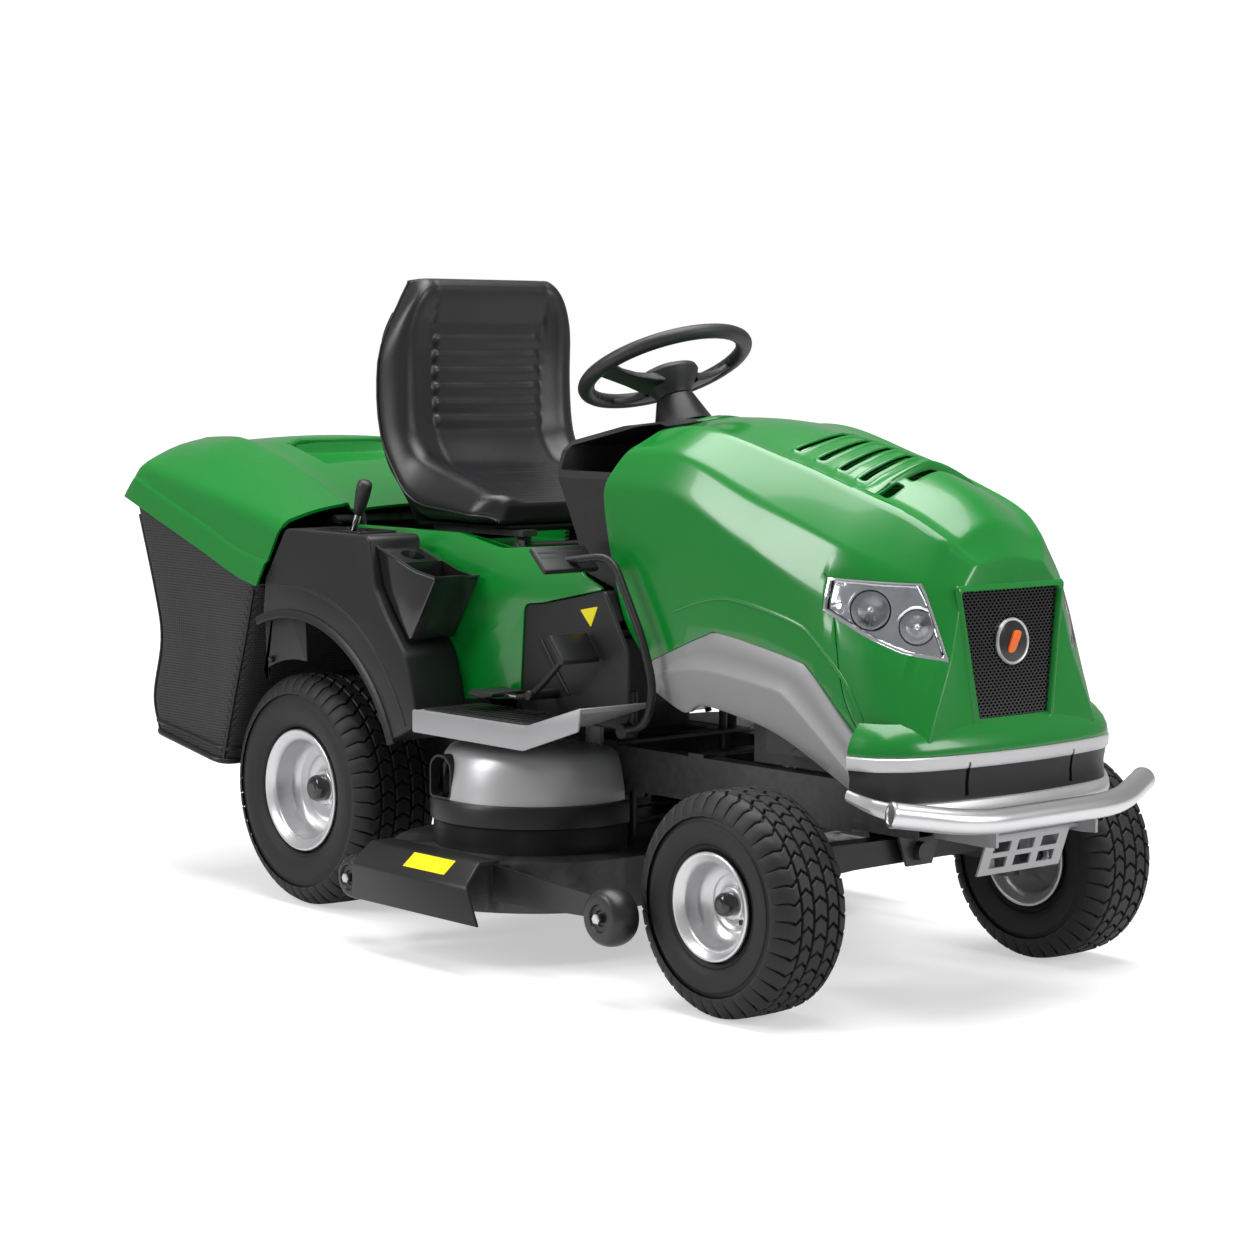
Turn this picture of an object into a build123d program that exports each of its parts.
"""Riding lawn mower with a mid-mounted deck and a rear grass collector, every piece its own STEP file.

The model is drawn with the front axle at y = 0, forward along -Y, +X to the driver's left, ground at z = 0.
save() moves each piece so that the row's origin is the bottom centre of the whole machine.
"""

from build123d import *
import math
import os

# ---------------------------------------------------------------- driving dimensions (mm)
WHEELBASE = 1260
FRONT_TYRE_R, FRONT_TYRE_W = 187, 155
REAR_TYRE_R, REAR_TYRE_W = 228, 193
FRONT_BEAD_R, REAR_BEAD_R = 76, 102
FRONT_FLANGE_R, REAR_FLANGE_R = 90, 119
FRONT_HUB_R, REAR_HUB_R = 20, 26
FRONT_OUTER_X, REAR_OUTER_X = 457, 397  # outer faces of the tyres
KINGPIN_X = 265
AXLE_TILT_Z = 235  # height of the pin that the front axle rocks on
GAP = 0.3  # running gap between pieces that only meet
FIT = 0.05  # radial gap of a shaft in its bore
SHEET = 4  # thickness of panels and folded plate

RAIL_IN, RAIL_OUT = 130, 165
RAIL_LOW, RAIL_HIGH = 290, 370
RAIL_FRONT, RAIL_REAR = -190, 1385
BODY_HALF = 262  # hood and body half width
BUMPER_R, BUMPER_FRONT = 21, -349
COLLECTOR_REAR = 1857

DECK_Y, DECK_Z, DECK_TOP = 690, 100, 190
BLADE_X, BLADE_R = 250, 240
DRUM_R, DRUM_TOP = 190, 370
GAUGE_X = 500
GAUGE_R, GAUGE_W = 50, 56

STEER_TOP = (0, 622, 1055)  # centre of the steering wheel
STEER_TILT = 25.4
STEER_R = 168
PEDAL_Y, PEDAL_Z = 398, 422

COLUMN_DIR = (0, math.sin(math.radians(STEER_TILT)), math.cos(math.radians(STEER_TILT)))
MID_Y = (BUMPER_FRONT + COLLECTOR_REAR) / 2
SIDES = {"right": -1, "left": 1}


# ---------------------------------------------------------------- helpers
def save(piece, name):
    """Move a piece into the row's frame and write it under its node name."""
    placed = piece.moved(Location((0, -MID_Y, 0)))
    placed.label = name
    export_step(placed, f"parts/{name}.step")


def other_side(piece):
    return piece.mirror(Plane.YZ)


def group(pieces):
    """Several separate solids as one node."""
    solids = [solid for piece in pieces for solid in piece.solids()]
    return Compound(solids)


def both_sides(piece):
    """The piece and its mirror image as separate solids of one node."""
    return group([piece, other_side(piece)])


def slab_x(outline, x_from, x_to):
    """An outline of (y, z) points, extruded across the machine."""
    with BuildPart() as slab:
        with BuildSketch(Plane.YZ.offset(x_from)):
            Polygon(*outline, align=None)
        extrude(amount=x_to - x_from)
    return slab.part


def slab_y(outline, y_from, y_to):
    """An outline of (x, z) points, extruded along the machine."""
    with BuildPart() as slab:
        with BuildSketch(Plane.XZ.offset(-y_from)):
            Polygon(*outline, align=None)
        extrude(amount=y_from - y_to)
    return slab.part


def slab_z(outline, z_from, z_to):
    """An outline of (x, y) points, extruded upwards."""
    with BuildPart() as slab:
        with BuildSketch(Plane.XY.offset(z_from)):
            Polygon(*outline, align=None)
        extrude(amount=z_to - z_from)
    return slab.part


def block(x_from, x_to, y_from, y_to, z_from, z_to):
    return slab_z([(x_from, y_from), (x_to, y_from), (x_to, y_to), (x_from, y_to)], z_from, z_to)


def rod(start, end, radius):
    """A round bar between two points."""
    span = Vector(*end) - Vector(*start)
    with BuildPart() as bar:
        with BuildSketch(Plane(origin=start, z_dir=tuple(span))):
            Circle(radius)
        extrude(amount=span.length)
    return bar.part


def swept(points, bends, radius):
    """A round bar along straight runs joined by tangent arcs."""
    with BuildPart() as bar:
        with BuildLine() as path:
            FilletPolyline(*points, radius=bends)
        with BuildSketch(Plane(origin=path.line @ 0, z_dir=path.line % 0)):
            Circle(radius)
        sweep()
    return bar.part


def spun(profile, centre):
    """A (distance along the axle, radius) outline turned about an axis along X through centre."""
    with BuildPart() as wheel:
        with BuildSketch(Plane.XY):
            Polygon(*profile, align=None)
        revolve(axis=Axis.X)
    return wheel.part.moved(Location(centre))


def mirrored(half):
    """Complete an open half outline of (x, z) points with its mirror image."""
    return half + [(-x, z) for x, z in reversed(half) if x != 0]


# ---------------------------------------------------------------- wheels
def tyre(radius, width, bead, flange, centre):
    """A tubeless tyre: beads, bulged side walls and a gently crowned tread, hollow inside."""
    half, wall = width / 2, 9
    seat = half - width * 0.13
    right = [(seat, bead + GAP), (seat, flange + 2), (half - 4, (bead + radius) / 2 - 18)]
    right += [(half, (bead + radius) / 2), (half - 4, radius - 34), (half - 16, radius - 12)]
    right += [(half - 40, radius - 2), (0, radius)]
    inner = [(0, radius - wall - 5), (half - 42, radius - wall - 7), (half - 22, radius - 26)]
    inner += [(half - wall, (bead + radius) / 2), (seat - wall, flange + 4), (seat - wall - 2, bead + GAP)]
    left = [(-x, r) for x, r in reversed(right[:-1])]
    left_inner = [(-x, r) for x, r in reversed(inner[1:])]
    return spun(right + left + left_inner + inner, centre)


def rim(width, bead, flange, bore, hub, centre, side):
    """A pressed steel wheel: barrel with two flanges, dished disc and hub tube."""
    seat, disc = width / 2 - width * 0.13, width * 0.08
    lip, wall = seat + 14, 4
    profile = [(-lip, flange), (-lip, flange - 5), (-seat - 4, bead - 3), (-seat, bead - wall)]
    profile += [(disc - wall, bead - wall), (disc - 14, hub + 12), (-hub * 1.6, hub + 8)]
    profile += [(-hub * 1.6, bore + FIT), (hub * 1.2, bore + FIT), (hub * 1.2, hub + 2)]
    profile += [(disc + 2, hub + 16), (disc + 12, bead - 16), (disc + 18, bead - wall), (seat, bead - wall)]
    profile += [(seat + 4, bead - 3), (lip, flange - 5), (lip, flange)]
    profile += [(seat + 8, flange - 2), (seat + 1, bead), (-seat - 1, bead), (-seat - 8, flange - 2)]
    return spun([(side * x, r) for x, r in profile], centre)


def hub_cap(hub, centre, side):
    """The cap over the axle end: a stepped plug with a rounded nose."""
    start = hub * 1.2 + GAP
    with BuildPart() as cap:
        add(spun([(side * start, 0), (side * start, hub), (side * (start + 14), hub),
                  (side * (start + 22), hub - 6), (side * (start + 24), 0)], centre))
    return cap.part


# ---------------------------------------------------------------- frame and running gear
def frame_rails():
    """Two channel rails with their open side inwards."""
    outer = [(RAIL_FRONT, RAIL_LOW), (RAIL_REAR, RAIL_LOW), (RAIL_REAR, RAIL_HIGH), (RAIL_FRONT, RAIL_HIGH)]
    inner = [(RAIL_FRONT - 1, RAIL_LOW + SHEET), (RAIL_REAR + 1, RAIL_LOW + SHEET)]
    inner += [(RAIL_REAR + 1, RAIL_HIGH - SHEET), (RAIL_FRONT - 1, RAIL_HIGH - SHEET)]
    with BuildPart() as rail:
        add(slab_x(outer, RAIL_IN, RAIL_OUT))
        add(slab_x(inner, RAIL_IN - 1, RAIL_OUT - SHEET), mode=Mode.SUBTRACT)
    return both_sides(rail.part)


CROSS_Y = (-60, 330, 560, 860, 1130)  # front edges of the cross members, each 40 long
HANGER_X, HANGER_R = 112, 8
DECK_TRAVEL = 75
HANGER_Y = (CROSS_Y[2] + 20, CROSS_Y[3] + 20)


def frame_crossmembers():
    """Flat ties on the rails; two of them guide the deck's hanger rods. The last is the hitch plate."""
    with BuildPart() as ties:
        for y in CROSS_Y:
            add(block(-RAIL_OUT, RAIL_OUT, y, y + 40, RAIL_HIGH, RAIL_HIGH + 6))
        add(block(-RAIL_OUT, RAIL_OUT, RAIL_REAR, RAIL_REAR + 6, RAIL_LOW - 60, RAIL_HIGH))
        add(block(-40, 40, RAIL_REAR + 6, RAIL_REAR + 60, RAIL_LOW - 60, RAIL_LOW - 52))
        with Locations(*[(x, y, RAIL_HIGH) for x in (-HANGER_X, HANGER_X) for y in HANGER_Y]):
            Cylinder(HANGER_R + GAP, 40, mode=Mode.SUBTRACT)
        with Locations((0, RAIL_REAR + 34, RAIL_LOW - 56)):
            Cylinder(HITCH_R, 40, mode=Mode.SUBTRACT)
        column = rod(tuple(Vector(*STEER_TOP) - Vector(*COLUMN_DIR) * 900), STEER_TOP, SHAFT_R + 4)
        add(column, mode=Mode.SUBTRACT)
    return group([ties.part, hood_hinges()] + collector_ears())


HITCH_R = 8
SHAFT_R = 11
PIN_R = 12
CHEEK_Y = 33  # inner faces of the pivot bracket's two cheeks


def axle_pivot_bracket():
    """A folded saddle under the rails whose cheeks hold the rocking pin."""
    top = RAIL_LOW - 6
    cheek = [(-60, top), (60, top), (30, AXLE_TILT_Z - 24), (-30, AXLE_TILT_Z - 24)]
    with BuildPart() as saddle:
        add(block(-RAIL_OUT, RAIL_OUT, -CHEEK_Y - 6, CHEEK_Y + 6, top, RAIL_LOW))
        add(slab_y(cheek, -CHEEK_Y - 6, -CHEEK_Y))
        add(slab_y(cheek, CHEEK_Y, CHEEK_Y + 6))
        add(rod((0, -60, AXLE_TILT_Z), (0, 60, AXLE_TILT_Z), PIN_R + FIT), mode=Mode.SUBTRACT)
    return saddle.part


def axle_pivot_pin():
    with BuildPart() as pin:
        add(rod((0, -CHEEK_Y - 14, AXLE_TILT_Z), (0, CHEEK_Y + 14, AXLE_TILT_Z), PIN_R))
        add(rod((0, -CHEEK_Y - 20, AXLE_TILT_Z), (0, -CHEEK_Y - 6 - GAP, AXLE_TILT_Z), PIN_R + 5))
    return pin.part


def axle_pivot():
    """The saddle and its pin as two solids."""
    return group([axle_pivot_bracket(), axle_pivot_pin()])


KINGPIN_R = 10
BOSS_LOW, BOSS_HIGH = 208, 268


def front_axle_beam():
    """A box beam with a pivot boss in the middle and a kingpin boss at each end."""
    with BuildPart() as beam:
        arm = [(18, AXLE_TILT_Z - 20), (KINGPIN_X - 12, BOSS_LOW + 6), (KINGPIN_X - 12, BOSS_HIGH - 6)]
        add(slab_y(mirrored([(0, AXLE_TILT_Z - 22)] + arm + [(18, AXLE_TILT_Z + 22)]), -20, 20))
        add(rod((0, -CHEEK_Y + GAP, AXLE_TILT_Z), (0, CHEEK_Y - GAP, AXLE_TILT_Z), PIN_R + 10))
        for side in SIDES.values():
            add(rod((side * KINGPIN_X, 0, BOSS_LOW), (side * KINGPIN_X, 0, BOSS_HIGH), KINGPIN_R + 12))
            bore = rod((side * KINGPIN_X, 0, 100), (side * KINGPIN_X, 0, 400), KINGPIN_R + FIT)
            add(bore, mode=Mode.SUBTRACT)
        add(rod((0, -90, AXLE_TILT_Z), (0, 90, AXLE_TILT_Z), PIN_R + FIT), mode=Mode.SUBTRACT)
    return beam.part


ARM_REACH, ARM_Z = 120, 190  # steering arm: length behind the kingpin, and its middle height
SPINDLE_R = 9.5


def knuckle():
    """The right steering knuckle: kingpin, lower yoke, stub axle and the arm for the tie rod."""
    x = -KINGPIN_X
    arm = [(x - 14, 0), (x + 14, 0), (x + 24, ARM_REACH), (x + 14, ARM_REACH + 14), (x, ARM_REACH)]
    with BuildPart() as piece:
        add(rod((x, 0, 160), (x, 0, BOSS_HIGH + 14), KINGPIN_R))
        add(rod((x, 0, 160), (x, 0, BOSS_LOW - GAP), KINGPIN_R + 12))
        add(rod((x, 0, BOSS_HIGH + GAP), (x, 0, BOSS_HIGH + 8), KINGPIN_R + 6))
        add(rod((x, 0, FRONT_TYRE_R), (-FRONT_OUTER_X + 55, 0, FRONT_TYRE_R), SPINDLE_R))
        add(slab_z(arm, ARM_Z - 5, ARM_Z + 5))
    return piece.part


PINION_R = 15
RACK_Z = 214


def tie_rod():
    """The bar that joins the two steering arms, with the rack that the pinion drives behind its middle."""
    reach = ARM_REACH + 2
    end_x = KINGPIN_X - 19
    with BuildPart() as bar:
        add(rod((-end_x, reach, RACK_Z), (end_x, reach, RACK_Z), 7))
        for side in SIDES.values():
            add(rod((side * end_x, reach, ARM_Z + 5 + GAP), (side * end_x, reach, RACK_Z + 9), 9))
        rack = PINION_Y + 28
        add(block(-98, 98, rack, rack + 10, RACK_Z - 8, RACK_Z + 8))
        add(block(-98, -84, reach, rack, RACK_Z - 5, RACK_Z + 5))
        add(block(84, 98, reach, rack, RACK_Z - 5, RACK_Z + 5))
        for tooth in range(-7, 8):
            x = tooth * 7.8
            add(slab_z([(x - 3, rack), (x + 3, rack), (x + 1.2, rack - 6), (x - 1.2, rack - 6)],
                       RACK_Z - 8, RACK_Z + 8))
    return bar.part


PINION_DROP = (STEER_TOP[2] - RACK_Z) / COLUMN_DIR[2]  # distance down the column to the rack's height
PINION_Y = STEER_TOP[1] - PINION_DROP * COLUMN_DIR[1]


def steering_shaft():
    """The inclined shaft from the wheel's hub down to the pinion that moves the rack."""
    top = Vector(*STEER_TOP)
    along = Vector(*COLUMN_DIR)
    foot = top - along * (PINION_DROP + 22)
    with BuildPart() as shaft:
        add(rod(tuple(foot), tuple(top - along * (WHEEL_HUB_DROP + GAP)), SHAFT_R))
        with BuildSketch(Plane(origin=tuple(top - along * (PINION_DROP + 12)), z_dir=COLUMN_DIR)):
            Circle(PINION_R - 2)
            with PolarLocations(PINION_R - 2, 12):
                Rectangle(6, 3)
        extrude(amount=18)
    return shaft.part


WHEEL_HUB_DROP = 62  # how far the wheel's hub reaches below the rim's plane


def steering_wheel():
    """A round rim, three flat spokes and a dished hub, tilted with the column."""
    with BuildPart() as wheel:
        with BuildSketch(Plane.XZ):
            with Locations((STEER_R - 15, 0)):
                Ellipse(15, 14)
        revolve(axis=Axis.Z)
        for angle in (0, 180, 90):
            with BuildSketch(Plane.XY.offset(-30)):
                with Locations(Location((0, 0, 0), (0, 0, angle))):
                    with Locations((78, 0)):
                        Rectangle(130, 46)
            extrude(amount=12)
            turn = Location((0, 0, 0), (0, 0, angle))
            end = slab_y([(128, -30), (160, -6), (150, 4), (120, -19)], -20, 20)
            add(end.moved(turn))
        with BuildSketch(Plane.XY.offset(-WHEEL_HUB_DROP)):
            Circle(34)
        with BuildSketch(Plane.XY.offset(-12)):
            Circle(58)
        loft()
    return wheel.part.moved(Location(STEER_TOP, (-STEER_TILT, 0, 0)))


def rear_transaxle():
    """The gearbox block with an axle tube on each side."""
    y = WHEELBASE
    with BuildPart() as box:
        add(slab_x([(y - 80, 150), (y + 60, 150), (y + 85, 190), (y + 85, RAIL_LOW - GAP),
                    (y - 110, RAIL_LOW - GAP), (y - 110, 200)], -95, 95))
        for side in SIDES.values():
            add(rod((side * 90, y, REAR_TYRE_R), (side * 178, y, REAR_TYRE_R), 30))
            bore = rod((side * 40, y, REAR_TYRE_R), (side * 300, y, REAR_TYRE_R), AXLE_R + FIT)
            add(bore, mode=Mode.SUBTRACT)
        add(rod((0, y - 140, RAIL_LOW - 90), (0, y - 100, RAIL_LOW - 90), 40))
        add(block(-RAIL_OUT, RAIL_OUT, y - 40, y + 40, RAIL_LOW - 12 - GAP, RAIL_LOW - GAP))
    return box.part


AXLE_R = 15


def rear_axle_shaft():
    """The right output shaft, from inside the gearbox to the wheel's hub."""
    x = -REAR_OUTER_X + REAR_TYRE_W / 2
    return rod((-42, WHEELBASE, REAR_TYRE_R), (x - 28, WHEELBASE, REAR_TYRE_R), AXLE_R)


# ---------------------------------------------------------------- engine bay
def engine_block():
    """Crankcase on the rails, two finned cylinders and the output pulley below."""
    floor = RAIL_HIGH + 6
    with BuildPart() as engine:
        add(block(-150, 150, -20, 215, floor, floor + 130))
        for side in SIDES.values():
            for fin in range(6):
                x = side * (152 + fin * 9)
                add(block(min(x, x + side * 5), max(x, x + side * 5), 20, 130, floor + 30, floor + 110))
            add(rod((side * 140, 75, floor + 70), (side * 204, 75, floor + 70), 32))
        add(rod((0, 90, 298), (0, 90, floor), 13))
        add(rod((0, 90, 298), (0, 90, 320), 56))
    return engine.part


def engine_fan_housing():
    """The round cooling shroud on top of the engine."""
    floor = RAIL_HIGH + 136 + GAP
    with BuildPart() as shroud:
        add(rod((0, 95, floor), (0, 95, floor + 90), 138))
        fillet(shroud.edges().group_by(Axis.Z)[-1], 25)
    return shroud.part


def muffler():
    z = RAIL_HIGH + 76
    with BuildPart() as can:
        add(rod((-125, -95, z), (125, -95, z), 52))
        fillet(can.edges(), 8)
        add(block(-60, 60, -95, -20 - GAP, z - 20, z + 20))
    return can.part


def fuel_tank():
    with BuildPart() as tank:
        add(block(-160, 160, 712, 836, RAIL_HIGH + GAP, 560))
        fillet(tank.edges().filter_by(Axis.Z), 25)
        add(rod((0, 774, 560), (0, 774, 590), 28))
    return tank.part


def battery():
    with BuildPart() as cell:
        add(block(-95, 95, 842, 944, RAIL_HIGH + 6 + GAP, 530))
        for x in (-60, 60):
            add(rod((x, 862, 530), (x, 862, 545), 9))
    return cell.part


# ---------------------------------------------------------------- hood and front end
# Right half of each station: (y, [(x, z) from the bottom edge, over the two creases, to the top centre]).
HOOD_STATIONS = [
    (505, [(257, 340), (262, 600), (262, 845), (236, 908), (172, 938), (0, 966)]),
    (360, [(257, 340), (262, 600), (262, 852), (232, 912), (172, 956), (0, 966)]),
    (120, [(257, 340), (262, 600), (258, 765), (230, 829), (166, 900), (0, 934)]),
    (-50, [(256, 340), (259, 560), (247, 690), (226, 767), (158, 847), (0, 893)]),
    (-140, [(255, 340), (254, 520), (229, 660), (203, 735), (143, 815), (0, 855)]),
    (-215, [(252, 340), (240, 480), (182, 640), (155, 705), (112, 768), (0, 794)]),
    (-276, [(236, 340), (214, 440), (148, 582), (116, 698), (80, 738), (0, 748)]),
]
HOOD_EDGE = [(368, 542), (430, 613), (465, 717), (482, 787), (487, 839), (476, 875), (444, 929), (425, 985)]
ARCH_TOP = [(-213, 395), (-112, 485), (-33, 560), (5, 577), (176, 607), (226, 600), (356, 549)]
ARCH_LOW = [(355, 496), (272, 464), (233, 480), (150, 472), (28, 445), (-157, 363)]
FRONT_LEAN = 0.056  # the hood's front face leans back by this much per unit of height
LIP_Z = 437  # bottom edge of the green front, on top of the fascia
HOOD_PIVOT = (-238, 372)


def hood_body(inset):
    """The hood's closed outer volume, or the same volume drawn in by inset."""
    with BuildPart() as body:
        for y, half in HOOD_STATIONS:
            shrink = [(max(x - inset, 0), z - inset if z > 345 else z) for x, z in half]
            plane = Plane.XZ.offset(-y)
            if y < -240:
                plane = Plane((0, y + inset, 0), x_dir=(1, 0, 0), z_dir=(0, -1, FRONT_LEAN))
            with BuildSketch(plane):
                Polygon(*mirrored(shrink), align=None)
        loft(ruled=True)
    return body.part


def below_hood():
    """Everything under the hood's lower edge: wheel arch, front lip and rear edge, as one cutter."""
    low = [(-400, LIP_Z), (-235, LIP_Z), (-213, LIP_Z - 30)]
    outline = low + ARCH_TOP + HOOD_EDGE + [(600, 985), (600, 200), (-400, 200)]
    return slab_x(outline, -500, 500)


LAMP_UPPER = [(-300, 712), (-50, 716)]
LAMP_LOWER = [(-50, 664), (-123, 631), (-190, 602), (-300, 570)]
GRILLE_FRONT = [(84, 480), (121, 696)]


def lamp_space(grow):
    """The right headlamp's opening: a side outline cut in from the flank to the grille's edge."""
    outline = [(y + grow, z + grow) for y, z in LAMP_UPPER] + [(y + grow, z - grow) for y, z in LAMP_LOWER]
    return slab_x(outline, -320, -157 + grow)


def grille_space(grow):
    low, high = GRILLE_FRONT
    half = [(0, low[1] - grow), (low[0] + grow, low[1] - grow), (high[0] + grow, high[1] + grow)]
    return slab_y(mirrored(half + [(0, high[1] + grow)]), -300, -170)


VENT_Y = (147, 92, 41, -6)


def hood_shell():
    """The green hood: thin lofted shell with openings for vents, grille and lamps."""
    lamp = lamp_space(0)
    with BuildPart() as hood:
        add(hood_body(0))
        add(hood_body(SHEET), mode=Mode.SUBTRACT)
        add(below_hood(), mode=Mode.SUBTRACT)
        add(block(-400, 400, 500, 520, 300, 1000), mode=Mode.SUBTRACT)
        add(lamp, mode=Mode.SUBTRACT)
        add(other_side(lamp), mode=Mode.SUBTRACT)
        add(grille_space(0), mode=Mode.SUBTRACT)
        for y in VENT_Y:
            add(block(-115, 115, y - 8, y + 8, 800, 1000), mode=Mode.SUBTRACT)
        for x_from, x_to in ((-125, -80), (-62, 62), (80, 125)):
            add(block(x_from, x_to, -72, -52, 780, 1000), mode=Mode.SUBTRACT)
    return max(hood.part.solids(), key=lambda solid: solid.volume)


def grille():
    """The tapered mesh panel, set back behind the hood's skin, with its round badge."""
    sheet = [(-247, 470), (-241, 470), (-228, 705), (-234, 705)]
    with BuildPart() as panel:
        add(slab_x(sheet, -130, 130))
        add(grille_space(-GAP), mode=Mode.INTERSECT)
        add(rod((0, -245, 610), (0, -236, 610), 44))
    return panel.part


def headlamp_lens():
    with BuildPart() as lens:
        add(hood_body(0.5))
        add(hood_body(SHEET - 0.5), mode=Mode.SUBTRACT)
        add(lamp_space(-GAP), mode=Mode.INTERSECT)
    return lens.part


def headlamp_reflector():
    """The chromed tray behind the lens, with two round bowls."""
    facing = Vector(-0.72, -0.69, 0.05)
    with BuildPart() as tray:
        add(hood_body(SHEET + 0.5))
        add(hood_body(46), mode=Mode.SUBTRACT)
        add(lamp_space(-GAP), mode=Mode.INTERSECT)
        for centre, radius in (((-196, -120, 662), 26), ((-176, -190, 645), 24)):
            start = Vector(*centre) - facing * 4
            add(rod(tuple(start), tuple(start + facing * 120), radius), mode=Mode.SUBTRACT)
    return max(tray.part.solids(), key=lambda solid: solid.volume)


def arch_trim():
    """The grey strip that follows the right wheel arch just under the hood's edge."""
    top = [(y, z - GAP) for y, z in ARCH_TOP[1:]]
    return slab_x([(-195, 408)] + top + ARCH_LOW, -BODY_HALF - 7, -BODY_HALF + 10)


FASCIA_END = (300, -165)
FASCIA_BULGE = (276, -215)
FASCIA_CORNER = (223, -250)
FASCIA_MIDDLE = -277
FASCIA_WALL = 12


def fascia_band(inset, z_from, z_to):
    """A curved strip round the front, drawn in by inset from the fascia's outer face."""
    end, side_y = FASCIA_END[0] - inset, FASCIA_END[1]
    bulge = (FASCIA_BULGE[0] - inset, FASCIA_BULGE[1] + inset / 2)
    corner = (FASCIA_CORNER[0] - inset / 2, FASCIA_CORNER[1] + inset)
    bulge_in = (bulge[0] - 11, bulge[1] + 10)
    corner_in = (corner[0] - 4, corner[1] + FASCIA_WALL)
    middle = FASCIA_MIDDLE + inset
    with BuildPart() as band:
        with BuildSketch(Plane.XY.offset(z_from)):
            with BuildLine():
                ThreePointArc((-corner[0], corner[1]), (0, middle), corner)
                Spline(corner, bulge, (end, side_y), tangents=[(1, 0.24), (0.1, 1)])
                Line((end, side_y), (end - FASCIA_WALL, side_y))
                Spline((end - FASCIA_WALL, side_y), bulge_in, corner_in, tangents=[(-0.1, -1), (-1, -0.24)])
                ThreePointArc(corner_in, (0, middle + FASCIA_WALL), (-corner_in[0], corner_in[1]))
                back = [(-corner_in[0], corner_in[1]), (-bulge_in[0], bulge_in[1])]
                Spline(*back, (-end + FASCIA_WALL, side_y), tangents=[(-1, 0.24), (-0.1, 1)])
                Line((-end + FASCIA_WALL, side_y), (-end, side_y))
                front = [(-end, side_y), (-bulge[0], bulge[1]), (-corner[0], corner[1])]
                Spline(*front, tangents=[(0.1, -1), (1, -0.24)])
            make_face()
        extrude(amount=z_to - z_from)
    return band.part


def front_fascia():
    """Silver, black and silver bands below the hood; the side ends rise over the wheels."""
    with BuildPart() as fascia:
        add(fascia_band(0, 414, LIP_Z - GAP))
        add(fascia_band(4, 345, 414))
        add(fascia_band(0, 331, 345))
        rise = slab_x([(-262, 300), (-230, 331), (-150, 366), (-150, 300)], -320, 320)
        add(rise, mode=Mode.SUBTRACT)
        y, z = HOOD_PIVOT
        for side in SIDES.values():
            x = side * 127
            add(block(x - 8, x + 8, -272, -200, 300, 352), mode=Mode.SUBTRACT)
            x = side * (RAIL_IN + 5.5)
            ear = [(-263, z - 10), (-263, z + 12), (y + 10, z + 12), (y + 10, z - 10)]
            add(slab_x(ear, x - 3.5, x + 3.5))
            add(rod((x - 10, y, z), (x + 10, y, z), 6 + FIT), mode=Mode.SUBTRACT)
    return fascia.part


def hood_hinges():
    """Two plates on the rails' front ends whose noses hold the hood's pivot stubs."""
    y, z = HOOD_PIVOT
    plate = [(y - 8, z - 6), (y - 8, z + 7), (y + 10, z + 10), (-150, RAIL_HIGH), (-150, RAIL_LOW)]
    plate += [(RAIL_FRONT + 2, RAIL_LOW), (-203, z - 12), (y + 10, z - 10)]
    with BuildPart() as hinge:
        add(slab_x(plate, -RAIL_IN + GAP, -RAIL_IN + 5))
        add(rod((-RAIL_IN - 10, y, z), (-RAIL_IN + 16, y, z), 6))
    return both_sides(hinge.part)


BUMPER_PATH = [(-309, -268, 356), (-174, -328, 335), (174, -328, 335), (309, -268, 356)]


def bumper_tube():
    """A bent tube in front of the fascia, open at both ends."""
    with BuildPart() as tube:
        add(swept(BUMPER_PATH, 70, BUMPER_R))
        add(swept(BUMPER_PATH, 70, BUMPER_R - 2.5), mode=Mode.SUBTRACT)
    return tube.part


def bumper_bracket():
    """Two arms from the rails to the tube and the perforated tow plate that hangs between them."""
    arm = [(-150, RAIL_LOW), (-150, RAIL_LOW + 16), (-296, RAIL_LOW + 20), (-312, 330), (-325, 330)]
    arm += [(-325, RAIL_LOW), (-296, RAIL_LOW - 2)]
    with BuildPart() as bracket:
        for side in SIDES.values():
            add(slab_x(arm, side * 118.6, side * 124.6))
        add(swept(BUMPER_PATH, 70, BUMPER_R + GAP), mode=Mode.SUBTRACT)
        add(slab_x([(-262, 232), (-258, 232), (-282, 299), (-286, 299)], -100, 100))
        add(block(-124, 124, -290, -250, 297, 301))
        for x in (-58, 0, 58):
            for z in (252, 279):
                add(block(x - 20, x + 20, -300, -240, z - 9, z + 9), mode=Mode.SUBTRACT)
        add(block(-124, 124, -170, -150, RAIL_LOW, RAIL_LOW + 4))
    return bracket.part


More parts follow.
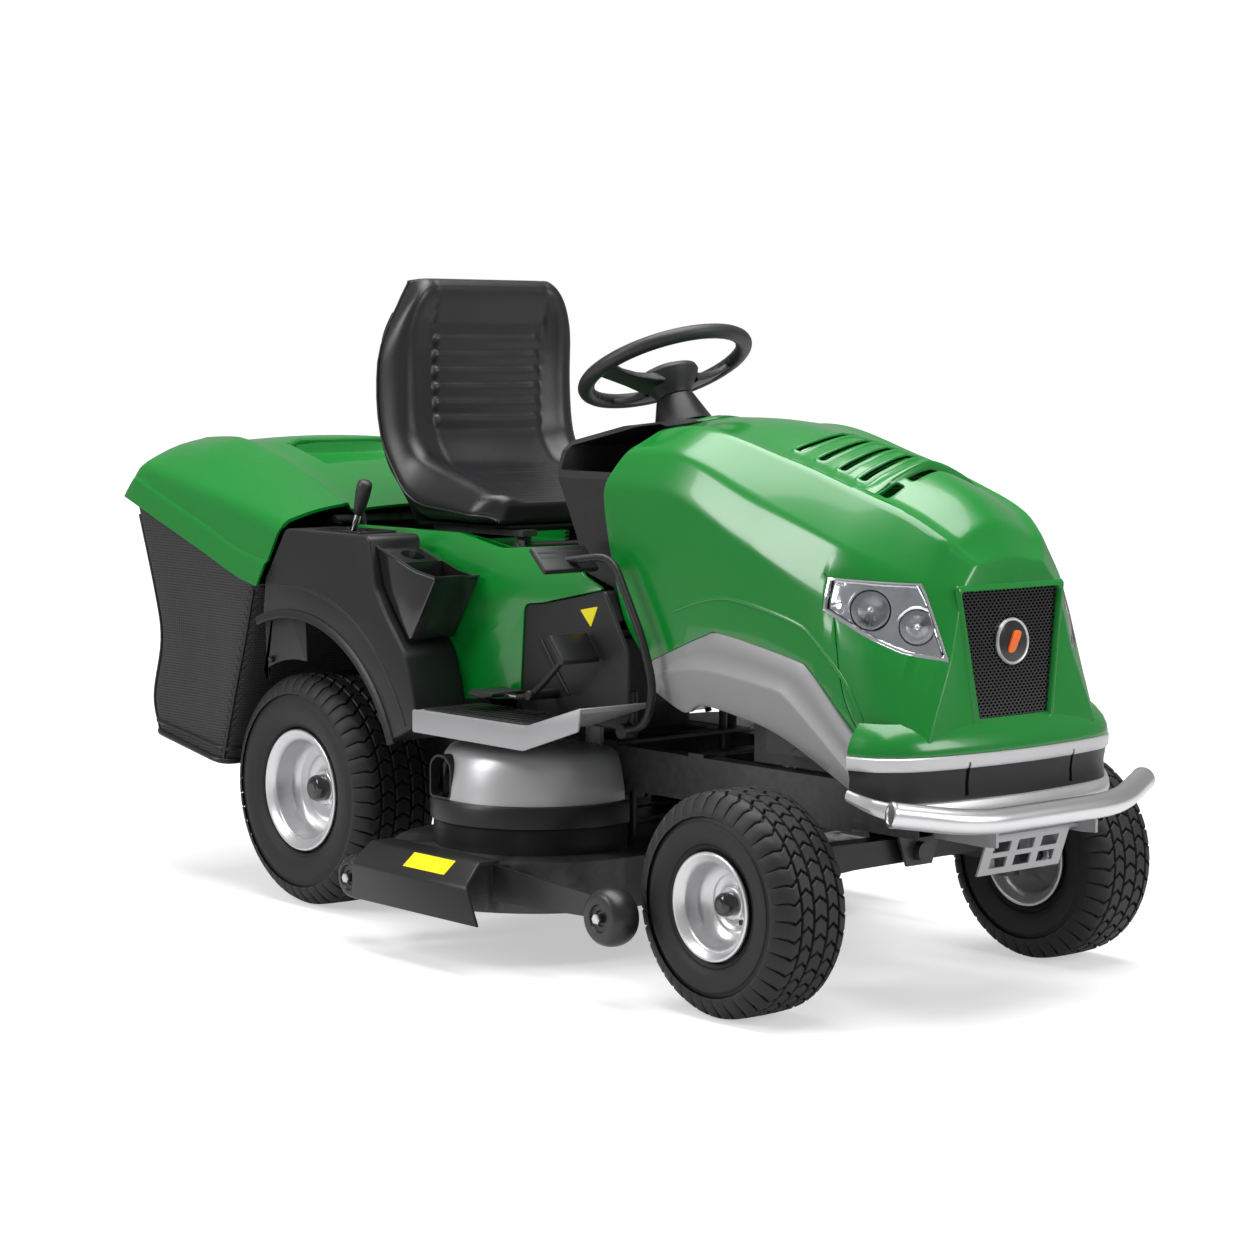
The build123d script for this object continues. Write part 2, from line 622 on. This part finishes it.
# ---------------------------------------------------------------- body panels
def dash_tower():
    """The black tower behind the hood that carries the steering column; open at the front and below."""
    edge = [(y + 2.5, z) for y, z in HOOD_EDGE[:-2]] + [(448, 931), (436, 958)]
    outline = edge + [(500, 962), (640, 922), (636, 880), (575, 760), (545, 690), (470, 668), (402, 560)]
    inner = [(y - 12, z - 8) for y, z in outline[6:]] + [(350, 500), (350, 945)]
    with BuildPart() as tower:
        add(slab_x(outline, -BODY_HALF + 8, BODY_HALF - 8))
        fillet(tower.edges().filter_by(Axis.X).group_by(Axis.Z)[-1], 5)
        cross = mirrored([(0, 967), (168, 950), (232, 905), (262, 840), (262, 400), (0, 400)])
        add(slab_y(cross, 340, 700), mode=Mode.INTERSECT)
        add(slab_x(inner, -BODY_HALF + 14, BODY_HALF - 14), mode=Mode.SUBTRACT)
        boot_top = Vector(*STEER_TOP) - Vector(*COLUMN_DIR) * (WHEEL_HUB_DROP + 4)
        boot_low = boot_top - Vector(*COLUMN_DIR) * 60
        with BuildSketch(Plane(origin=tuple(boot_low), z_dir=COLUMN_DIR)):
            Circle(58)
        with BuildSketch(Plane(origin=tuple(boot_top), z_dir=COLUMN_DIR)):
            Circle(36)
        loft()
        bore_low = boot_low - Vector(*COLUMN_DIR) * 520
        bore_top = boot_top + Vector(*COLUMN_DIR) * 10
        add(rod(tuple(bore_low), tuple(bore_top), SHAFT_R + GAP), mode=Mode.SUBTRACT)
    return max(tower.part.solids(), key=lambda solid: solid.volume)


BODY_TOP = 700  # deck under the seat


TUNNEL_HALF = 278


def tunnel_cover():
    """The black hump between the footboards, under the green body's front."""
    outline = [(401.5, 557.6), (467.5, 663.6), (640, 630), (689.5, 625.3), (701.5, 451), (701.5, 419.3)]
    outline += [(401.5, 419.3)]
    with BuildPart() as cover:
        add(slab_x(outline, -TUNNEL_HALF, TUNNEL_HALF))
        inner = [(400, 545), (472, 656), (640, 623), (695, 617), (695, 400), (400, 400)]
        add(slab_x(inner, -TUNNEL_HALF + 5, TUNNEL_HALF - 5), mode=Mode.SUBTRACT)
        column = rod((0, 250, 264), tuple(Vector(*STEER_TOP)), SHAFT_R + 12)
        add(column, mode=Mode.SUBTRACT)
    return cover.part


BODY_SIDE = [(473, 664), (640, 630.6), (690, 625.6), (702, 450), (830, 440), (1070, 415), (1110, 520)]
BODY_SIDE += [(1285, 560), (1285, 742), (1045, 742), (982, 750), (799, 720), (570, 737), (548, 687)]


def seat_body():
    """The green body under the seat: sloped shoulders, raised rims beside a lower seat deck."""
    half = [(0, BODY_TOP), (208, BODY_TOP), (222, 742), (240, 742), (280, 650), (280, 400)]
    outer = mirrored(half + [(0, 400)])
    half = [(0, BODY_TOP - 5), (212, BODY_TOP - 5), (226, 736), (237, 736), (275, 648), (275, 395)]
    inner = mirrored(half + [(0, 395)])
    with BuildPart() as body:
        add(slab_y(outer, 470, 1288))
        add(slab_y(inner, 460, 1300), mode=Mode.SUBTRACT)
        add(slab_x(BODY_SIDE, -300, 300), mode=Mode.INTERSECT)
        column = rod((0, 250, 264), tuple(Vector(*STEER_TOP)), SHAFT_R + 12)
        add(column, mode=Mode.SUBTRACT)
        wall = mirrored([(0, 561), (278, 561), (278, 648), (218, BODY_TOP - 1), (0, BODY_TOP - 1)])
        add(slab_y(wall, 1279, 1285))
    return body.part


FENDER_IN, FENDER_OUT = 280 + GAP, 400
FENDER_TOP = 740


def ring_points(radius, start, stop, steps):
    """Points on a circle round the rear axle, angles in degrees from the rear over the top."""
    angles = [math.radians(start + (stop - start) * i / steps) for i in range(steps + 1)]
    return [(WHEELBASE + radius * math.cos(a), REAR_TYRE_R + radius * math.sin(a)) for a in angles]


def fender_outline():
    """Side view of the rear wheel arch with its squared console top."""
    inner = ring_points(ARCH_IN, 72, 158, 10)
    front = [(856, 388), (871, 460), (892, 524), (950, 590), (985, 640), (1005, 738), (1282, FENDER_TOP)]
    return inner + front + [(1358, 632)]


ARCH_IN = 338


def fender():
    """The right black fender: outer skin, arch liner and console top, open towards the body."""
    outline = fender_outline()
    with BuildPart() as panel:
        add(slab_x(outline, -FENDER_OUT, -FENDER_IN))
        inner = ring_points(ARCH_IN + 6, 74, 154, 10)
        inner += [(884, 440), (905, 522), (962, 590), (996, 636), (1014, FENDER_TOP - 6)]
        inner += [(1276, FENDER_TOP - 6), (1346, 634)]
        add(slab_x(inner, -FENDER_OUT + 6, -FENDER_IN + 1), mode=Mode.SUBTRACT)
        slot = block(-LEVER_X - 10, -LEVER_X + 10, 1085, 1190, FENDER_TOP - 20, FENDER_TOP + 10)
        add(slot, mode=Mode.SUBTRACT)
    return panel.part


LEVER_X = 318


def storage_tray():
    """The right console tray: an open pocket with a round cup well behind it."""
    outline = [(820, 668), (877, 676), (1000, 716), (980, 645), (941, 594), (900, 546)]
    with BuildPart() as tray:
        add(slab_x(outline, -384, -FENDER_IN - GAP))
        pocket = [(828, 680), (872, 684), (925, 702), (927, 592), (898, 560)]
        add(slab_x(pocket, -378, -FENDER_IN - 6), mode=Mode.SUBTRACT)
        add(rod((-332, 958, 655), (-332, 958, 740), 22), mode=Mode.SUBTRACT)
    return tray.part


FOOT_IN, FOOT_OUT = TUNNEL_HALF + GAP, 430


def footboard():
    """The right footboard: a ramp that rises to the front and a ribbed flat floor."""
    outline = [(503, 431), (820, 431), (820, 419), (506, 419), (352, 466), (346, 477)]
    with BuildPart() as board:
        add(slab_x(outline, -FOOT_OUT, -FOOT_IN))
        add(slab_x([(498, 431), (826, 431), (826, 388), (498, 388)], -FOOT_OUT - 5, -FOOT_OUT))
        for i in range(9):
            y = 530 + i * 30
            add(block(-FOOT_OUT + 14, -300, y, y + 12, 431, 435))
        add(block(-300, -RAIL_OUT, 600, 640, 405, 419))
        add(block(-RAIL_OUT - 12, -RAIL_OUT, 600, 640, 320, 419))
    return board.part


# ---------------------------------------------------------------- controls
def brake_pedal():
    """A wide pad on a long curved arm that turns on a stub beside the frame."""
    path = [(-292, PEDAL_Y, PEDAL_Z), (-292, 338, PEDAL_Z + 14), (-292, 318, 505), (-292, 350, 590)]
    path += [(-292, 432, 728), (-330, 508, 716)]
    with BuildPart() as pedal:
        add(swept(path, 18, 7))
        add(slab_x([(486, 702), (494, 694), (536, 734), (528, 742)], -395, -272))
        add(rod((-TUNNEL_HALF - GAP, PEDAL_Y, PEDAL_Z), (-300, PEDAL_Y, PEDAL_Z), 14))
    return pedal.part


DRIVE_Y, DRIVE_Z = 600, 470


def drive_pedal():
    """A rocker with the forward pad at its front and the reverse pad at its heel."""
    with BuildPart() as pedal:
        add(rod((-TUNNEL_HALF - GAP, DRIVE_Y, DRIVE_Z), (-345, DRIVE_Y, DRIVE_Z), 9))
        add(slab_x([(DRIVE_Y - 8, 466), (490, 554), (498, 566), (DRIVE_Y + 8, 478)], -340, -328))
        add(slab_x([(DRIVE_Y - 8, 462), (690, 460), (700, 468), (DRIVE_Y, 478)], -340, -328))
        add(slab_x([(470, 542), (476, 536), (512, 582), (506, 588)], -370, -285))
        add(slab_x([(672, 462), (740, 462), (740, 470), (672, 470)], -370, -290))
    return pedal.part


def height_lever():
    """The cutting height lever: a bar through the console slot with a grip."""
    with BuildPart() as lever:
        add(rod((-LEVER_X, 1216, 640), (-LEVER_X, 1151, 774), 7))
        add(rod((-LEVER_X, 1152, 772), (-LEVER_X, 1128, 836), 14))
        fillet(lever.edges().group_by(Axis.Z)[-1], 8)
        add(rod((-LEVER_X - 20, 1216, 640), (-280 - GAP, 1216, 640), 12))
    return lever.part


# ---------------------------------------------------------------- seat
SEAT_PIVOT = (849, 716)
SEAT_HALF = 233


def seat_bracket():
    """The tilting frame under the seat: two runners and the front pivot ears."""
    y, z = SEAT_PIVOT
    with BuildPart() as bracket:
        for side in SIDES.values():
            x = side * 150
            add(block(x - 18, x + 18, y - 14, 1110, 736, SEAT_PAN[0][1] - GAP))
            add(slab_x([(y - 10, z - 10), (y + 10, z - 10), (y + 22, 740), (y - 14, 740)], x - 4, x + 4))
        add(block(-150, 150, 960, 1000, 736, SEAT_PAN[0][1] - GAP))
        add(rod((-170, y, z), (170, y, z), 8))
    return bracket.part


def seat_ears():
    """Ears on the body's deck that hold the seat pivot rod."""
    y, z = SEAT_PIVOT
    ears = []
    for side in SIDES.values():
        x = side * 164
        with BuildPart() as ear:
            outline = [(y - 24, BODY_TOP), (y + 24, BODY_TOP), (y + 12, z + 13), (y - 12, z + 13)]
            add(slab_x(outline, x - 3, x + 3))
            add(rod((x - 10, y, z), (x + 10, y, z), 8 + FIT), mode=Mode.SUBTRACT)
        ears.append(ear.part)
    return ears


SEAT_PAN = [(852, 748), (1118, 748), (1158, 800), (1214, 862), (1242, 946), (1234, 1088), (1212, 1160)]


def seat_pan():
    """The moulded pan under the cushion and behind the backrest."""
    back = [(1204, 1160), (1226, 1088), (1234, 948), (1207, 867), (1150, 812), (1112, 756), (852, 756)]
    return slab_x(SEAT_PAN + back, -200, 200)


def seat_cushion():
    """The one-piece padded bucket: seat and backrest, as a plain closed solid."""
    low = [(852, 756.3), (1111.8, 756.3), (1149.7, 812.4), (1206.6, 867.2), (1233.6, 948), (1225.7, 1088)]
    outline = low + [(1203, 1163), (1199, 1205), (1186, 1224), (1150, 1224), (1134, 1205), (1146, 1080)]
    outline += [(1144, 960), (1118, 892), (1070, 866), (905, 816), (872, 812), (852, 790)]
    with BuildPart() as cushion:
        add(slab_x(outline, -SEAT_HALF, SEAT_HALF))
        corner = cushion.edges().filter_by(Axis.X).group_by(Axis.Z)[-1]
        fillet(corner, 8)
    return cushion.part


def seat_mounts():
    """The pivot ears and the two springs as separate solids."""
    return group(seat_ears() + [seat_springs()])


def seat_springs():
    """Two coil springs on the deck, drawn as closed barrels, that carry the seat's rear."""
    with BuildPart() as springs:
        for side in SIDES.values():
            for turn in range(4):
                z = BODY_TOP + 1.5 + turn * 9
                add(rod((side * 150, 1065, BODY_TOP), (side * 150, 1065, 735.7), 9))
                with Locations((side * 150, 1065, z)):
                    Cylinder(20, 5, align=(Align.CENTER, Align.CENTER, Align.MIN))
    return springs.part


# ---------------------------------------------------------------- collector
COLLECT_PIVOT = (1312, 752)
# (y, lip z, shoulder z, ridge z, centre z) along the lid
LID_STATIONS = [
    (1298, 610, 742, 778, 788),
    (1420, 634, 772, 826, 838),
    (1560, 681, 800, 872, 886),
    (1700, 728, 826, 900, 914),
    (1810, 765, 842, 896, 908),
    (COLLECTOR_REAR, 781, 806, 838, 846),
]
LID_HALF = 410


def lid_body(inset):
    with BuildPart() as body:
        for y, lip, shoulder, ridge, top in LID_STATIONS:
            floor = lip - 30 if inset else lip
            half = [(LID_HALF - inset, floor), (LID_HALF - 4 - inset, shoulder - inset)]
            half += [(LID_HALF - 30 - inset, shoulder + 14 - inset), (236 - inset / 2, ridge - inset)]
            half += [(0, top - inset)]
            station = y - inset if y > 1850 else y + inset if y < 1300 else y
            with BuildSketch(Plane.XZ.offset(-station)):
                Polygon(*mirrored(half), align=None)
        loft(ruled=True)
    return body.part


def collector_lid():
    """The green lid: lofted shell, open below, with a handle recess in its middle."""
    with BuildPart() as lid:
        add(lid_body(0))
        add(lid_body(LID_WALL), mode=Mode.SUBTRACT)
        front = slab_x([(1270, 560), (1366, 560), (1370, 618), (1298, 744), (1290, 744)], -500, 500)
        add(front, mode=Mode.SUBTRACT)
        recess = slab_x([(1500, 1000), (1500, 840), (1640, 872), (1690, 1000)], -150, 150)
        add(recess, mode=Mode.SUBTRACT)
        add(slab_x([(1480, 828), (1480, 833), (1660, 874), (1660, 869)], -160, 160))
        for side in SIDES.values():
            add(block(side * 200 - 10, side * 200 + 10, 1290, 1310, 730, 775), mode=Mode.SUBTRACT)
    return max(lid.part.solids(), key=lambda solid: solid.volume)


LID_WALL = 5
BAG_HALF = LID_HALF - LID_WALL - 2.7
CROSS_TUBE_HALF = LID_HALF - LID_WALL - 2.2
BAG_SIDE = [(1385, 628), (1845, 784), (1776, 589), (1755, 487), (1785, 358), (1762, 298), (1515, 255)]


def collector_bag():
    """The mesh bag as a plain thin-walled box, open at the front where the chute feeds it."""
    inner = [(1400, 640), (1828, 785), (1764, 591), (1743, 487), (1773, 360), (1753, 308), (1527, 268)]
    with BuildPart() as bag:
        add(slab_x(BAG_SIDE, -BAG_HALF, BAG_HALF))
        add(slab_x(inner, -BAG_HALF + 8, BAG_HALF - 8), mode=Mode.SUBTRACT)
        add(slab_x([(1370, 420), (1370, 572), (1480, 572), (1480, 420)], -112, 112), mode=Mode.SUBTRACT)
    return bag.part


def collector_frame():
    """The steel frame under the lid: side bars, cross tube and the pivot ears."""
    y, z = COLLECT_PIVOT
    with BuildPart() as frame:
        for side in SIDES.values():
            bar = [(y - 8, z - 8), (y + 10, z + 10), (1420, 700), (1700, 760), (1700, 748), (1430, 660)]
            add(slab_x(bar, side * 250, side * 256))
        add(rod((-262, y, z), (262, y, z), 8))
        add(rod((-CROSS_TUBE_HALF, 1560, 714), (CROSS_TUBE_HALF, 1560, 714), 10))
    return frame.part


def collector_ears():
    y, z = COLLECT_PIVOT
    ears = []
    for side in SIDES.values():
        x = side * 200
        with BuildPart() as ear:
            outline = [(1285 + GAP, 720), (1285 + GAP, 700), (y + 8, z - 12)]
            outline += [(y + 12, z + 12), (y - 12, z + 12)]
            add(slab_x(outline, x - 3, x + 3))
            add(rod((x - 10, y, z), (x + 10, y, z), 8 + FIT), mode=Mode.SUBTRACT)
        ears.append(ear.part)
    return ears


# ---------------------------------------------------------------- mower deck
SPINDLE_PULLEY_R = 62


def deck_shell():
    """The pressed shell over the two blades, with its four hanger rods and gauge wheel arms."""
    with BuildPart() as deck:
        with BuildSketch(Plane.XY.offset(DECK_Z)):
            with Locations((-BLADE_X, DECK_Y), (BLADE_X, DECK_Y)):
                Circle(BLADE_R + 22)
            with Locations((0, DECK_Y)):
                Rectangle(2 * BLADE_X, 2 * (BLADE_R + 22))
        extrude(amount=DECK_TOP - DECK_Z)
        with BuildSketch(Plane.XY.offset(DECK_Z)):
            with Locations((-BLADE_X, DECK_Y), (BLADE_X, DECK_Y)):
                Circle(BLADE_R + 18)
            with Locations((0, DECK_Y)):
                Rectangle(2 * BLADE_X, 2 * (BLADE_R + 18))
        extrude(amount=DECK_TOP - DECK_Z - SHEET, mode=Mode.SUBTRACT)
        rear = DECK_Y + BLADE_R + 30
        add(block(-110, 110, rear - 60, rear, DECK_Z - 5, DECK_TOP - SHEET), mode=Mode.SUBTRACT)
        for x in (-HANGER_X, HANGER_X):
            for y in HANGER_Y:
                add(rod((x, y, DECK_TOP - 1), (x, y, RAIL_HIGH + DECK_TRAVEL + 18), HANGER_R))
        for x in (-BLADE_X, BLADE_X):
            add(rod((x, DECK_Y, DECK_TOP - 34), (x, DECK_Y, DECK_TOP + 10), 36))
            bore = rod((x, DECK_Y, DECK_TOP - 60), (x, DECK_Y, DECK_TOP + 60), BLADE_SHAFT_R + FIT)
            add(bore, mode=Mode.SUBTRACT)
        for side in SIDES.values():
            outer, inner = side * (GAUGE_X - GAUGE_W / 2 - 4), side * (GAUGE_X - GAUGE_W / 2 - 10)
            for y, z, root in ((FRONT_GAUGE[0], FRONT_GAUGE[1], 560), (REAR_GAUGE[0], REAR_GAUGE[1], 815)):
                toward = math.copysign(1, root - y)
                tip = y - toward * 14
                arm = [(tip, z - 14), (root, DECK_Z + 20), (root, DECK_TOP - 4), (tip, z + 14)]
                add(slab_x(arm, inner, outer))
                add(rod((inner, y, z), (side * (GAUGE_X + GAUGE_W / 2 + 6), y, z), 8))
    return deck.part


BLADE_SHAFT_R = 12
FRONT_GAUGE = (186, 150)
REAR_GAUGE = (898, 121)


def gauge_wheel(y, z):
    """One right anti-scalp wheel: a solid roller with rounded edges."""
    half, radius = GAUGE_W / 2, GAUGE_R if z > 130 else GAUGE_R - 8
    profile = [(-half, 8 + FIT), (-half, radius - 12), (-half + 12, radius), (half - 12, radius)]
    profile += [(half, radius - 12), (half, 8 + FIT)]
    return spun(profile, (-GAUGE_X, y, z))


def blade(x):
    """A mulching bar blade on its spindle with the drive pulley on top."""
    with BuildPart() as piece:
        bar = [(x - BLADE_R, DECK_Y - 22), (x + BLADE_R, DECK_Y - 30), (x + BLADE_R, DECK_Y + 22),
               (x - BLADE_R, DECK_Y + 30)]
        add(slab_z(bar, DECK_Z + 22, DECK_Z + 27))
        add(rod((x, DECK_Y, DECK_Z + 14), (x, DECK_Y, PULLEY_Z + 24), BLADE_SHAFT_R))
        add(spindle_pulley().moved(Location((x, DECK_Y, PULLEY_Z))))
    return piece.part


def spindle_pulley():
    """A flat-grooved belt pulley standing on z = 0."""
    rim_r, root_r = SPINDLE_PULLEY_R, SPINDLE_PULLEY_R - 12
    groove = [(0, 0), (rim_r, 0), (rim_r, 4), (root_r, 8), (root_r, 14), (rim_r, 18), (rim_r, 22), (0, 22)]
    with BuildPart() as pulley:
        with BuildSketch(Plane.XZ):
            Polygon(*groove, align=None)
        revolve(axis=Axis.Z)
    return pulley.part


PULLEY_Z = 204


def blade_belt():
    """The belt round both blade pulleys, lying in their grooves."""
    outer = SPINDLE_PULLEY_R + 2
    inner = SPINDLE_PULLEY_R - 11.4
    with BuildPart() as belt:
        with BuildSketch(Plane.XY.offset(PULLEY_Z + 8.3)):
            SlotCenterToCenter(2 * BLADE_X, 2 * outer)
            SlotCenterToCenter(2 * BLADE_X, 2 * inner, mode=Mode.SUBTRACT)
        extrude(amount=5.4)
    return belt.part.moved(Location((0, DECK_Y, 0)))


def deck_covers():
    """The two belt covers: drums with a raised band, open below and beside the frame rails."""
    with BuildPart() as drum:
        add(rod((-BLADE_X, DECK_Y, DECK_TOP + GAP), (-BLADE_X, DECK_Y, 235), DRUM_R))
        add(rod((-BLADE_X, DECK_Y, 235), (-BLADE_X, DECK_Y, 275), DRUM_R + 6))
        add(rod((-BLADE_X, DECK_Y, 275), (-BLADE_X, DECK_Y, DRUM_TOP), DRUM_R - 6))
        fillet(drum.edges().group_by(Axis.Z)[-1], 14)
        hollow = rod((-BLADE_X, DECK_Y, 180), (-BLADE_X, DECK_Y, DRUM_TOP - SHEET), DRUM_R - 12)
        add(hollow, mode=Mode.SUBTRACT)
        inboard = block(-RAIL_OUT - 20, 0, DECK_Y - 260, DECK_Y + 260, 150, 400)
        add(inboard, mode=Mode.SUBTRACT)
    return both_sides(drum.part)


def side_deflector():
    """The right side wing: a sloped plastic guard along the deck's edge."""
    section = [(-470, 197), (-517, 197), (-560, 162), (-560, 96), (-554, 96)]
    section += [(-554, 159), (-514, 190.3)]
    section += [(-470, 190.3)]
    with BuildPart() as wing:
        add(slab_y(section, 470, 840))
        trim = slab_x([(460, 60), (460, 230), (540, 230), (470, 90), (560, 60)], -600, -400)
        add(trim, mode=Mode.SUBTRACT)
    return wing.part


def discharge_chute():
    """The duct that carries the clippings over the gearbox to the collector."""
    seat_z = RAIL_HIGH + 6 + GAP
    outline = [(1008, 205), (1115, seat_z), (1175, seat_z), (1392, 430), (1392, 565)]
    outline += [(1130, 540), (1045, 470), (962, 300), (962, 205)]
    inner = [(1003, 200), (1112, RAIL_HIGH + 11), (1174, RAIL_HIGH + 11), (1400, 436), (1400, 560)]
    inner += [(1132, 535), (1049, 467), (967, 299), (967, 200)]
    with BuildPart() as chute:
        add(slab_x(outline, -105, 105))
        add(slab_x(inner, -101, 101), mode=Mode.SUBTRACT)
    return chute.part


# ---------------------------------------------------------------- write every node
os.makedirs("parts", exist_ok=True)

front_x = FRONT_OUTER_X - FRONT_TYRE_W / 2
rear_x = REAR_OUTER_X - REAR_TYRE_W / 2
for name, side in SIDES.items():
    front, rear = (side * front_x, 0, FRONT_TYRE_R), (side * rear_x, WHEELBASE, REAR_TYRE_R)
    save(tyre(FRONT_TYRE_R, FRONT_TYRE_W, FRONT_BEAD_R, FRONT_FLANGE_R, front), f"front_tyre_{name}")
    save(tyre(REAR_TYRE_R, REAR_TYRE_W, REAR_BEAD_R, REAR_FLANGE_R, rear), f"rear_tyre_{name}")
    front_rim = rim(FRONT_TYRE_W, FRONT_BEAD_R, FRONT_FLANGE_R, SPINDLE_R, FRONT_HUB_R, front, side)
    rear_rim = rim(REAR_TYRE_W, REAR_BEAD_R, REAR_FLANGE_R, AXLE_R, REAR_HUB_R, rear, side)
    save(group([front_rim, hub_cap(FRONT_HUB_R, front, side)]), f"front_rim_{name}")
    save(group([rear_rim, hub_cap(REAR_HUB_R, rear, side)]), f"rear_rim_{name}")

for right_name, piece in (("knuckle_right", knuckle()), ("rear_axle_shaft_right", rear_axle_shaft())):
    save(piece, right_name)
    save(other_side(piece), right_name.replace("right", "left"))
for place, (y, z) in (("front", FRONT_GAUGE), ("rear", REAR_GAUGE)):
    save(gauge_wheel(y, z), f"gauge_wheel_{place}_right")
    save(other_side(gauge_wheel(y, z)), f"gauge_wheel_{place}_left")
save(blade(-BLADE_X), "blade_right")
save(blade(BLADE_X), "blade_left")

PAIRED = {
    "headlamp_lenses": headlamp_lens, "headlamp_reflectors": headlamp_reflector, "arch_trims": arch_trim,
    "fender_trims": fender, "storage_trays": storage_tray, "footboards": footboard,
    "side_deflectors": side_deflector,
}
for name, make in PAIRED.items():
    save(both_sides(make()), name)

SINGLE = {
    "frame_rails": frame_rails, "frame_crossmembers": frame_crossmembers,
    "axle_pivot": axle_pivot,
    "front_axle_beam": front_axle_beam, "tie_rod": tie_rod, "rear_transaxle": rear_transaxle,
    "engine_block": engine_block, "engine_fan_housing": engine_fan_housing, "muffler": muffler,
    "fuel_tank": fuel_tank, "battery": battery, "hood_shell": hood_shell, "grille": grille,
    "front_fascia": front_fascia, "bumper_tube": bumper_tube, "bumper_bracket": bumper_bracket,
    "dash_tower": dash_tower, "tunnel_cover": tunnel_cover, "seat_body": seat_body,
    "steering_shaft": steering_shaft, "steering_wheel": steering_wheel, "brake_pedal": brake_pedal,
    "drive_pedal": drive_pedal, "height_lever": height_lever, "seat_bracket": seat_bracket,
    "seat_pan": seat_pan, "seat_cushion": seat_cushion, "seat_mounts": seat_mounts,
    "collector_lid": collector_lid, "collector_bag": collector_bag, "collector_frame": collector_frame,
    "deck_shell": deck_shell, "deck_covers": deck_covers, "blade_belt": blade_belt,
    "discharge_chute": discharge_chute,
}
for name, make in SINGLE.items():
    save(make(), name)
